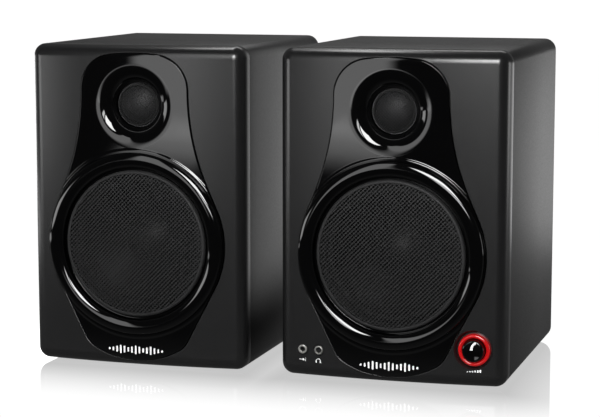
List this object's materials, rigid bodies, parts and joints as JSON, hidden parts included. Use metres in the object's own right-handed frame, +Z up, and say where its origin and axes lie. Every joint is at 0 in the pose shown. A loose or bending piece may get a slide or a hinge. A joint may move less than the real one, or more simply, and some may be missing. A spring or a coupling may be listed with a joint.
{
  "type": "powered desktop monitor speaker pair",
  "caption": "Compact two-way desktop monitor speakers with bowed fronts, gloss hourglass fascias, perforated woofer grilles and a volume knob in a lit red ring.",
  "frame": {"origin": "on the desk plane, midway between the two units and at the middle of the pair's depth", "axes": "+Z up, the fronts face -Y, and the active unit with the volume knob stands at +X"},
  "size_m": [0.3334, 0.1956, 0.222],
  "materials": {
    "vinyl": "fibreboard wrapped in dark grey fine-grained vinyl",
    "satin_plastic": "satin moulded dark grey",
    "gloss_plastic": "piano-black high gloss",
    "black_plastic": "matt moulded black",
    "red_plastic": "matt moulded red",
    "red_light": "lit translucent red light guide",
    "grille_metal": "fine perforated steel, matt black",
    "pressed_steel": "dark coated pressed steel",
    "plate_steel": "black powder coat",
    "magnet": "dark grey ferrite between steel plates",
    "cone_paper": "dark pressed paper pulp",
    "copper_coil": "enamelled copper winding",
    "surround_rubber": "soft matt rubber",
    "spider_cloth": "resin-stiffened woven cloth, tan",
    "dome_silk": "coated dark silk",
    "foot_rubber": "matt rubber",
    "nickel": "nickel plate",
    "circuit_board": "green solder mask with black components",
    "transformer_core": "varnished steel laminations with a taped winding"
  },
  "bodies": {
    "right_speaker": {"right_cabinet": "vinyl", "right_baffle": "satin_plastic", "right_fascia": "gloss_plastic", "right_port_tube": "black_plastic", "right_woofer_grille": "grille_metal", "right_woofer_frame": "pressed_steel", "right_woofer_magnet": "magnet", "right_woofer_surround": "surround_rubber", "right_woofer_spider": "spider_cloth", "right_tweeter_body": "magnet", "right_tweeter_guard": "grille_metal", "right_foot_front_left": "foot_rubber", "right_foot_front_right": "foot_rubber", "right_foot_rear_left": "foot_rubber", "right_foot_rear_right": "foot_rubber", "right_terminal_block": "black_plastic", "volume_light_ring": "red_light", "volume_potentiometer": "pressed_steel", "aux_jack": "nickel", "headphone_jack": "nickel", "control_board": "circuit_board", "amplifier_plate": "plate_steel", "amplifier_board": "circuit_board", "transformer": "transformer_core", "mains_inlet": "black_plastic", "power_switch_housing": "black_plastic", "rca_sockets": "nickel", "usb_socket": "nickel"},
    "left_speaker": {"left_cabinet": "vinyl", "left_baffle": "satin_plastic", "left_fascia": "gloss_plastic", "left_port_tube": "black_plastic", "left_woofer_grille": "grille_metal", "left_woofer_frame": "pressed_steel", "left_woofer_magnet": "magnet", "left_woofer_surround": "surround_rubber", "left_woofer_spider": "spider_cloth", "left_tweeter_body": "magnet", "left_tweeter_guard": "grille_metal", "left_foot_front_left": "foot_rubber", "left_foot_front_right": "foot_rubber", "left_foot_rear_left": "foot_rubber", "left_foot_rear_right": "foot_rubber", "left_terminal_block": "black_plastic", "left_crossover": "circuit_board"},
    "volume_control": {"volume_knob": "gloss_plastic", "volume_shaft": "nickel"},
    "power_rocker": {"power_rocker": "black_plastic"},
    "right_woofer_cone_assembly": {"right_woofer_cone": "cone_paper", "right_woofer_dust_cap": "cone_paper", "right_woofer_voice_coil": "copper_coil"},
    "left_woofer_cone_assembly": {"left_woofer_cone": "cone_paper", "left_woofer_dust_cap": "cone_paper", "left_woofer_voice_coil": "copper_coil"},
    "right_tweeter_diaphragm": {"right_tweeter_dome": "dome_silk"},
    "left_tweeter_diaphragm": {"left_tweeter_dome": "dome_silk"},
    "right_red_lever": {"right_terminal_lever_red": "red_plastic"},
    "right_black_lever": {"right_terminal_lever_black": "black_plastic"},
    "left_red_lever": {"left_terminal_lever_red": "red_plastic"},
    "left_black_lever": {"left_terminal_lever_black": "black_plastic"}
  },
  "joints": [
    {"name": "left_speaker_spacing", "type": "slide", "parent": "right_speaker", "child": "left_speaker", "axis": [-1, 0, 0], "range_m": [0, 0.5]},
    {"name": "volume_turn", "type": "hinge", "parent": "right_speaker", "child": "volume_control", "pos_m": [0.1458, -0.08955, 0.0272], "axis": [0, 1, 0], "range_deg": [-150, 150]},
    {"name": "power_rocker_tilt", "type": "hinge", "parent": "right_speaker", "child": "power_rocker", "pos_m": [0.0955, 0.08775, 0.04], "axis": [1, 0, 0], "range_deg": [-16, 0]},
    {"name": "right_woofer_stroke", "type": "slide", "parent": "right_speaker", "child": "right_woofer_cone_assembly", "axis": [0, -1, 0], "range_m": [-0.003, 0.003], "stiffness_N_per_m": 1200, "deforming": ["right_woofer_surround", "right_woofer_spider"]},
    {"name": "left_woofer_stroke", "type": "slide", "parent": "left_speaker", "child": "left_woofer_cone_assembly", "axis": [0, -1, 0], "range_m": [-0.003, 0.003], "stiffness_N_per_m": 1200, "deforming": ["left_woofer_surround", "left_woofer_spider"]},
    {"name": "right_tweeter_stroke", "type": "slide", "parent": "right_speaker", "child": "right_tweeter_diaphragm", "axis": [0, -1, 0], "range_m": [-0.0003, 0.0003], "stiffness_N_per_m": 3000},
    {"name": "left_tweeter_stroke", "type": "slide", "parent": "left_speaker", "child": "left_tweeter_diaphragm", "axis": [0, -1, 0], "range_m": [-0.0003, 0.0003], "stiffness_N_per_m": 3000},
    {"name": "right_red_lever_press", "type": "hinge", "parent": "right_speaker", "child": "right_red_lever", "pos_m": [0.1025, 0.09205, 0.1254], "axis": [1, 0, 0], "range_deg": [-22, 0]},
    {"name": "right_black_lever_press", "type": "hinge", "parent": "right_speaker", "child": "right_black_lever", "pos_m": [0.1205, 0.09205, 0.1254], "axis": [1, 0, 0], "range_deg": [-22, 0]},
    {"name": "left_red_lever_press", "type": "hinge", "parent": "left_speaker", "child": "left_red_lever", "pos_m": [-0.0985, 0.08975, 0.0794], "axis": [1, 0, 0], "range_deg": [-22, 0]},
    {"name": "left_black_lever_press", "type": "hinge", "parent": "left_speaker", "child": "left_black_lever", "pos_m": [-0.0805, 0.08975, 0.0794], "axis": [1, 0, 0], "range_deg": [-22, 0]}
  ]
}
